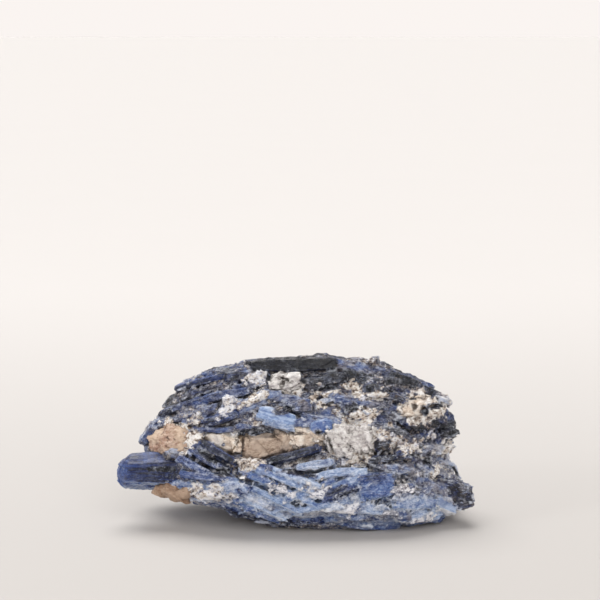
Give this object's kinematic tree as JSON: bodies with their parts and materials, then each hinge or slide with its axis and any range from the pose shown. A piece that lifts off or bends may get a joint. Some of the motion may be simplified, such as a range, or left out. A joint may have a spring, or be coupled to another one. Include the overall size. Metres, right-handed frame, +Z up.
{
  "type": "kyanite blade cluster",
  "caption": "Irregular mass of intergrown blue kyanite blades with cream and tan feldspar and quartz grains in its hollows, resting on a flat base.",
  "frame": {"origin": "middle of the bounding box, at the height of the flat base", "axes": "+Z up; +X along the mass, from the long projecting blade to the right tail; the side shown in the picture faces -Y"},
  "size_m": [0.1076, 0.0596, 0.0496],
  "materials": {
    "kyanite": "vitreous to pearly, striated along the blades",
    "feldspar_pink": "dull, granular",
    "feldspar_cream": "dull to pearly cleavage faces",
    "feldspar_brown": "dull, striated",
    "feldspar_tan": "dull to pearly cleavage faces",
    "feldspar_orange": "dull, iron stained",
    "quartz_white": "vitreous, cloudy"
  },
  "bodies": {
    "root": {"kyanite_cluster": "kyanite", "feldspar_nodule_left": "feldspar_pink", "feldspar_wedge_left": "feldspar_cream", "feldspar_sliver": "feldspar_brown", "feldspar_block_centre": "feldspar_tan", "feldspar_wedge_right": "feldspar_cream", "feldspar_under_blade": "feldspar_orange", "quartz_patch_middle": "quartz_white", "quartz_cell_top": "quartz_white", "feldspar_patch_right": "feldspar_cream"}
  },
  "joints": []
}
